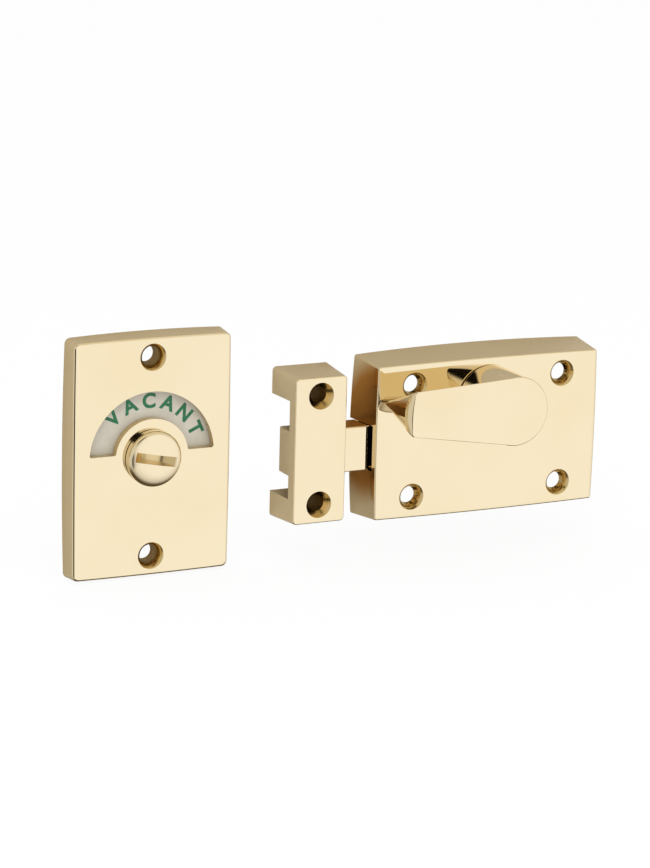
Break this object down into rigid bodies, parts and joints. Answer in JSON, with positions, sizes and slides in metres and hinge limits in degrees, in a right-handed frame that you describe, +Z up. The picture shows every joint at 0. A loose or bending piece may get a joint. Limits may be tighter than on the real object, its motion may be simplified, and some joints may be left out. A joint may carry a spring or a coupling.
{
  "type": "toilet indicator bolt",
  "caption": "Cast brass rim bolt worked by a thumb turn through a rack and pinion, with an open keep and an indicator plate that has a half-round window and a coin release.",
  "frame": {"origin": "middle of the bolt case's back face", "axes": "+Y into the door, the fronts face -Y, +Z up the door, and -X is the way the bolt is shot"},
  "size_m": [0.1679, 0.0676, 0.0714],
  "materials": {
    "polished_brass": "hand polished",
    "steel": "bright zinc plated",
    "spring_steel": "blued",
    "nylon": "moulded",
    "enamel": "satin enamel on brass"
  },
  "bodies": {
    "fixed_castings": {"bolt_case": "polished_brass", "turn_bush": "nylon", "back_plate": "polished_brass", "back_plate_screw_1": "steel", "back_plate_screw_2": "steel", "back_plate_screw_3": "steel", "back_plate_screw_4": "steel", "keep": "polished_brass", "indicator_plate": "polished_brass", "disc_washer": "nylon", "disc_stop_pin": "steel"},
    "turn": {"thumb_turn": "polished_brass", "turn_grub_screw": "steel", "turn_spindle": "steel", "pinion": "polished_brass", "pinion_washer": "steel", "pinion_clip": "spring_steel"},
    "bolt": {"bolt": "polished_brass", "bolt_spring": "spring_steel"},
    "indicator": {"release_turn": "polished_brass", "indicator_disc": "enamel", "disc_clip": "spring_steel"}
  },
  "joints": [
    {"name": "turn_spin", "type": "hinge", "parent": "fixed_castings", "child": "turn", "pos_m": [0, 0, 0.011], "axis": [0, -1, 0], "range_deg": [0, 180]},
    {"name": "bolt_slide", "type": "slide", "parent": "fixed_castings", "child": "bolt", "axis": [1, 0, 0], "range_m": [0, 0.02262]},
    {"name": "indicator_spin", "type": "hinge", "parent": "fixed_castings", "child": "indicator", "pos_m": [-0.1043, 0, 0.0005], "axis": [0, -1, 0], "range_deg": [0, 180]}
  ],
  "couplings": [
    {"joint": "bolt_slide", "follows": "turn_spin", "m_per_rad": 0.0072}
  ]
}
